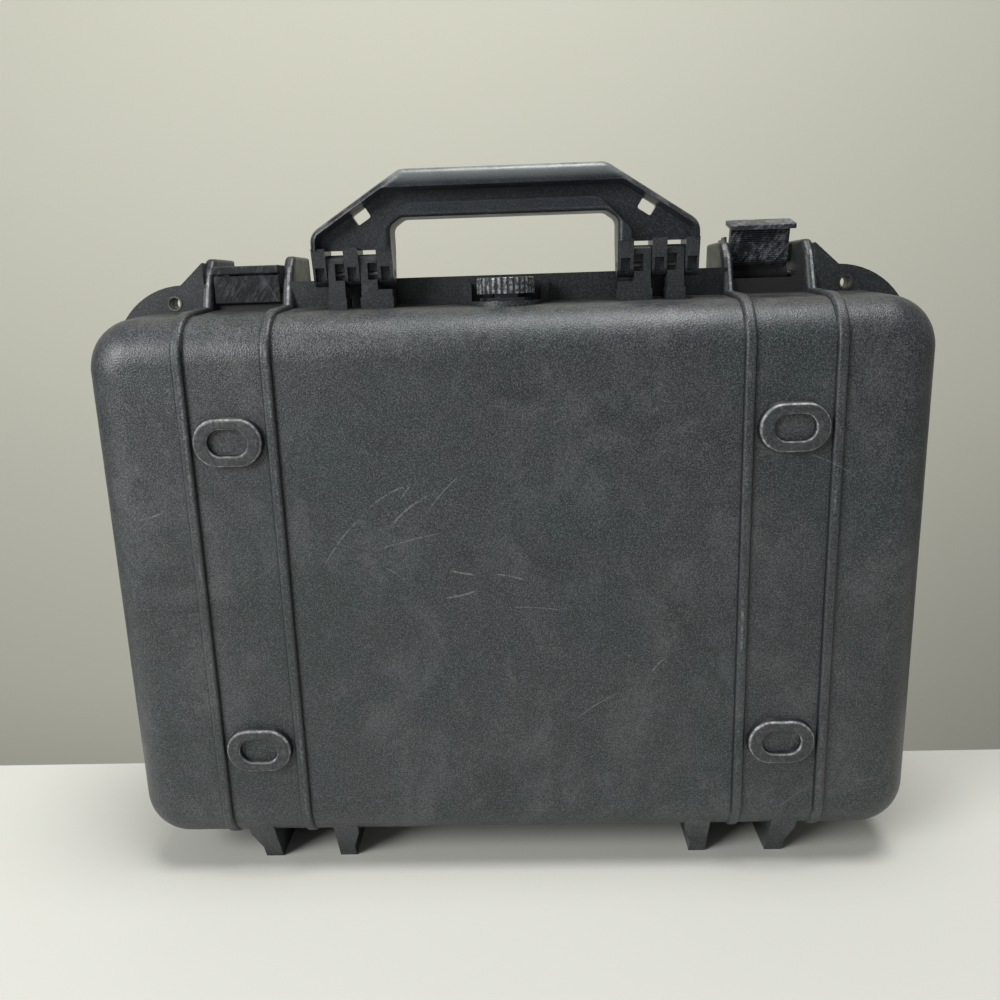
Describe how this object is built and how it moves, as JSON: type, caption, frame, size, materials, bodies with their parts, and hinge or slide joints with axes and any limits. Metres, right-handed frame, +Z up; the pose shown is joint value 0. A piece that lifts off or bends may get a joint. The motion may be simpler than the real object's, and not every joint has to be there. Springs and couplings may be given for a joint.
{
  "type": "laptop hard case",
  "caption": "Black moulded hard case for a laptop, with folding handle, draw latches, padlock holes, purge valve, ring feet and a foam-lined hinged lid.",
  "frame": {"origin": "centre of the bounding box's underside: the plane of the hinge lugs' flat feet, midway across the width and midway between the ring feet's tips and the open latch lever's tail", "axes": "+X to the viewer's right when facing the base shell's outer face, +Y from the base shell to the lid, +Z up from the hinge to the carry handle"},
  "size_m": [0.462, 0.1208, 0.4035],
  "materials": {
    "shell": "fine moulded texture, worn",
    "handle_plastic": "satin",
    "latch_plastic": "satin",
    "knob_plastic": "glossy",
    "steel": "darkened, satin",
    "seal": "matt",
    "foam": "open-cell foam",
    "membrane": "woven membrane"
  },
  "bodies": {
    "base": {"base_shell": "shell", "base_foam": "foam", "handle_pin_left": "steel", "handle_pin_right": "steel", "hinge_pin_left": "steel", "hinge_pin_right": "steel", "valve_body": "knob_plastic", "valve_seal": "seal", "valve_membrane": "membrane", "valve_nut": "knob_plastic", "base_sleeve_left": "steel", "base_sleeve_right": "steel"},
    "lid": {"lid_shell": "shell", "lid_gasket": "seal", "lid_foam": "foam", "left_latch_pin": "steel", "right_latch_pin": "steel", "lid_sleeve_left": "steel", "lid_sleeve_right": "steel"},
    "handle": {"handle": "handle_plastic"},
    "left_hook": {"left_latch_hook": "latch_plastic", "left_lever_pin": "steel"},
    "left_lever": {"left_latch_lever": "latch_plastic"},
    "right_hook": {"right_latch_hook": "latch_plastic", "right_lever_pin": "steel"},
    "right_lever": {"right_latch_lever": "latch_plastic"},
    "knob": {"valve_knob": "knob_plastic"}
  },
  "joints": [
    {"name": "lid_hinge", "type": "hinge", "parent": "base", "child": "lid", "pos_m": [0, 0.00889, 0.009], "axis": [-1, 0, 0], "range_deg": [0, 100]},
    {"name": "handle_pivot", "type": "hinge", "parent": "base", "child": "handle", "pos_m": [0, -0.01341, 0.35], "axis": [-1, 0, 0], "range_deg": [-90, 40]},
    {"name": "left_hook_pivot", "type": "hinge", "parent": "lid", "child": "left_hook", "pos_m": [-0.1495, 0.03259, 0.343], "axis": [-1, 0, 0], "range_deg": [0, 75]},
    {"name": "left_lever_pivot", "type": "hinge", "parent": "left_hook", "child": "left_lever", "pos_m": [-0.1495, 0.02259, 0.3515], "axis": [-1, 0, 0], "range_deg": [0, 105]},
    {"name": "right_hook_pivot", "type": "hinge", "parent": "lid", "child": "right_hook", "pos_m": [0.1495, 0.03259, 0.343], "axis": [-1, 0, 0], "range_deg": [-75, 0]},
    {"name": "right_lever_pivot", "type": "hinge", "parent": "right_hook", "child": "right_lever", "pos_m": [0.1495, 0.03821, 0.35486], "axis": [-1, 0, 0], "range_deg": [-105, 0]},
    {"name": "purge_knob", "type": "hinge", "parent": "base", "child": "knob", "pos_m": [0, -0.01441, 0.3378], "axis": [0, 0, 1], "range_deg": [0, 180]}
  ]
}
